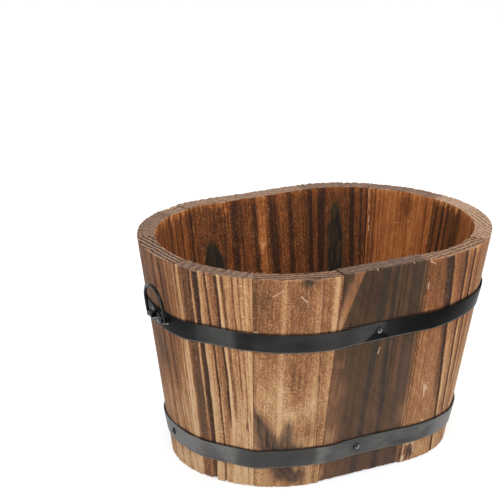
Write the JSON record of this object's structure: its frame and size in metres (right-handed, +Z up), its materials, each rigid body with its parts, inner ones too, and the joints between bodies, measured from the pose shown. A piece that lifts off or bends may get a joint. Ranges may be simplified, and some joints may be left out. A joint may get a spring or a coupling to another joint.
{
  "type": "wooden planter box",
  "caption": "Flared oval planter of upright charred wooden staves bound by black steel hoops, with a slatted draining floor and a swinging wire handle at each end.",
  "frame": {"origin": "centre of the tub's footprint, on the surface that it stands on", "axes": "+X along the tub towards the right handle, +Y across it towards the hoops' laps, +Z up"},
  "size_m": [0.4122, 0.298, 0.25],
  "materials": {
    "charred_wood": "torched and brushed softwood, brown with black scorch marks",
    "floor_wood": "rough sawn softwood, lightly torched",
    "hoop_steel": "satin black paint on steel strip",
    "screw_steel": "glossy black",
    "handle_steel": "semi-gloss black"
  },
  "bodies": {
    "tub": {"stave_right_back_corner": "charred_wood", "stave_back_right": "charred_wood", "stave_back_middle": "charred_wood", "stave_back_left": "charred_wood", "stave_back_filler": "charred_wood", "stave_left_back_corner": "charred_wood", "stave_left_end": "charred_wood", "stave_left_front_corner": "charred_wood", "stave_front_left": "charred_wood", "stave_front_middle": "charred_wood", "stave_front_right": "charred_wood", "stave_right_front_corner": "charred_wood", "stave_right_end": "charred_wood", "floor_board_front": "floor_wood", "floor_board_middle": "floor_wood", "floor_board_back": "floor_wood", "upper_hoop": "hoop_steel", "lower_hoop": "hoop_steel", "upper_hoop_screws": "screw_steel", "lower_hoop_screws": "screw_steel", "handle_screws": "screw_steel", "left_handle_plate": "handle_steel", "right_handle_plate": "handle_steel"},
    "left_bail": {"left_bail": "handle_steel"},
    "right_bail": {"right_bail": "handle_steel"}
  },
  "joints": [
    {"name": "left_bail_swing", "type": "hinge", "parent": "tub", "child": "left_bail", "pos_m": [-0.19789, 0, 0.17851], "axis": [0, -1, 0], "range_deg": [-7, 185]},
    {"name": "right_bail_swing", "type": "hinge", "parent": "tub", "child": "right_bail", "pos_m": [0.19789, 0, 0.17851], "axis": [0, 1, 0], "range_deg": [-7, 185]}
  ]
}
